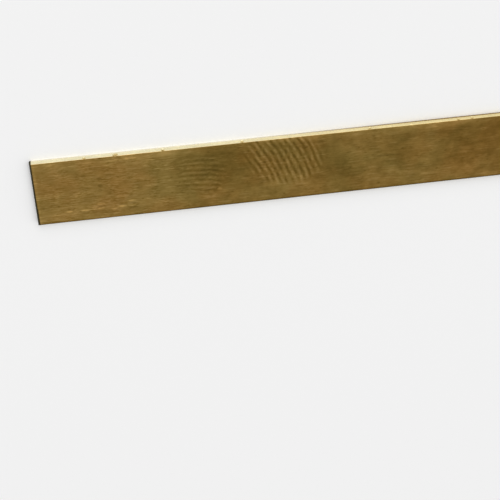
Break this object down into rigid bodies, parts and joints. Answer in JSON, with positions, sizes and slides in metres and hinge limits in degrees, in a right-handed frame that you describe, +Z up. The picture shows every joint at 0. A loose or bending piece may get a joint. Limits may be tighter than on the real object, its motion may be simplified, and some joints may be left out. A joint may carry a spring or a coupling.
{
  "type": "brass strip",
  "caption": "Flat brass strip stock with slit edges and sheared ends, tarnished face, for model making, shims, trim and light brackets.",
  "frame": {"origin": "middle of the underside", "axes": "+X along the strip, +Y across it, +Z up out of the upper face"},
  "size_m": [0.3, 0.006, 0.0005],
  "materials": {
    "brass": "cold rolled, dulled and finger marked by handling"
  },
  "bodies": {
    "root": {"strip": "brass"}
  },
  "joints": []
}
